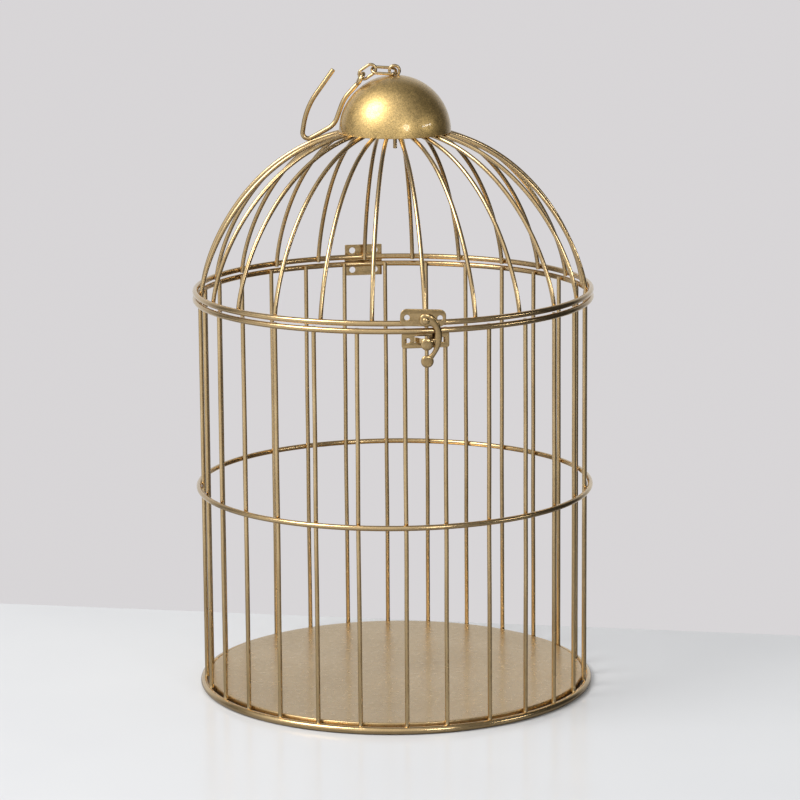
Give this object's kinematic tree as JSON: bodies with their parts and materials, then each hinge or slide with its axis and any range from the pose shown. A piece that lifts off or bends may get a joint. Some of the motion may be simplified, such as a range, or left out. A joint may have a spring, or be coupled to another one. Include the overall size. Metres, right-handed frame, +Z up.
{
  "type": "wedding card box",
  "caption": "Round wire birdcage card box with a hinged domed lid, swing-arm front latch, rear hinge, sheet floor pan and a cap carrying a short chain and hanging hook.",
  "frame": {"origin": "centre of the base on the table plane", "axes": "+Z up, -Y towards the front latch, +Y towards the rear hinge"},
  "size_m": [0.25, 0.2577, 0.3932],
  "materials": {
    "wire_paint": "gold metallic spray paint, semi-gloss",
    "ring_paint": "gold metallic spray paint, semi-gloss",
    "pan_paint": "pale gold metallic paint, satin",
    "cap_paint": "gold metallic spray paint with a fine sparkle",
    "crown_paint": "gold metallic spray paint, semi-gloss",
    "hardware_paint": "gold metallic spray paint over stamped steel"
  },
  "bodies": {
    "cage_body": {"base_ring": "ring_paint", "floor_pan": "pan_paint", "mid_ring": "ring_paint", "body_top_ring": "ring_paint", "body_wire_01": "wire_paint", "body_wire_02": "wire_paint", "body_wire_03": "wire_paint", "body_wire_04": "wire_paint", "body_wire_05": "wire_paint", "body_wire_06": "wire_paint", "body_wire_07": "wire_paint", "body_wire_08": "wire_paint", "body_wire_09": "wire_paint", "body_wire_10": "wire_paint", "body_wire_11": "wire_paint", "body_wire_12": "wire_paint", "body_wire_13": "wire_paint", "body_wire_14": "wire_paint", "body_wire_15": "wire_paint", "body_wire_16": "wire_paint", "body_wire_17": "wire_paint", "body_wire_18": "wire_paint", "body_wire_19": "wire_paint", "body_wire_20": "wire_paint", "body_wire_21": "wire_paint", "body_wire_22": "wire_paint", "body_wire_23": "wire_paint", "body_wire_24": "wire_paint", "body_wire_25": "wire_paint", "body_wire_26": "wire_paint", "body_wire_27": "wire_paint", "body_wire_28": "wire_paint", "catch_plate": "hardware_paint", "catch_button": "hardware_paint", "hinge_leaf_lower": "hardware_paint", "hinge_pin": "hardware_paint"},
    "lid": {"lid_ring": "ring_paint", "dome_wire_pair_01": "wire_paint", "dome_wire_pair_02": "wire_paint", "dome_wire_pair_03": "wire_paint", "dome_wire_pair_04": "wire_paint", "dome_wire_pair_05": "wire_paint", "dome_wire_pair_06": "wire_paint", "dome_wire_pair_07": "wire_paint", "dome_wire_pair_08": "wire_paint", "dome_wire_pair_09": "wire_paint", "dome_wire_pair_10": "wire_paint", "dome_wire_pair_11": "wire_paint", "dome_wire_pair_12": "wire_paint", "crown_hub": "crown_paint", "crown_cap": "cap_paint", "crown_stem": "crown_paint", "crown_nut": "crown_paint", "latch_plate": "hardware_paint", "latch_rivet": "hardware_paint", "hinge_leaf_upper": "hardware_paint"},
    "latch_swing": {"latch_arm": "hardware_paint"},
    "link_one": {"chain_link_1": "crown_paint"},
    "link_two": {"chain_link_2": "crown_paint"},
    "hook": {"hanging_hook": "crown_paint"}
  },
  "joints": [
    {"name": "lid_hinge", "type": "hinge", "parent": "cage_body", "child": "lid", "pos_m": [0, 0.1266, 0.25025], "axis": [-1, 0, 0], "range_deg": [0, 150]},
    {"name": "latch_pivot", "type": "hinge", "parent": "lid", "child": "latch_swing", "pos_m": [-0.00055, -0.1265, 0.2543], "axis": [0, -1, 0], "range_deg": [0, 110]},
    {"name": "link_one_swing", "type": "hinge", "parent": "lid", "child": "link_one", "pos_m": [0.0019, 0, 0.3884], "axis": [0.1305, 0.9914, 0], "range_deg": [0, 80]},
    {"name": "link_two_swing", "type": "hinge", "parent": "link_one", "child": "link_two", "pos_m": [-0.01218, 0.00185, 0.38915], "axis": [0.1305, 0.9914, 0], "range_deg": [0, 60]},
    {"name": "hook_swing", "type": "hinge", "parent": "link_two", "child": "hook", "pos_m": [-0.01704, 0.00249, 0.3866], "axis": [0.1305, 0.9914, 0], "range_deg": [0, 40]}
  ]
}
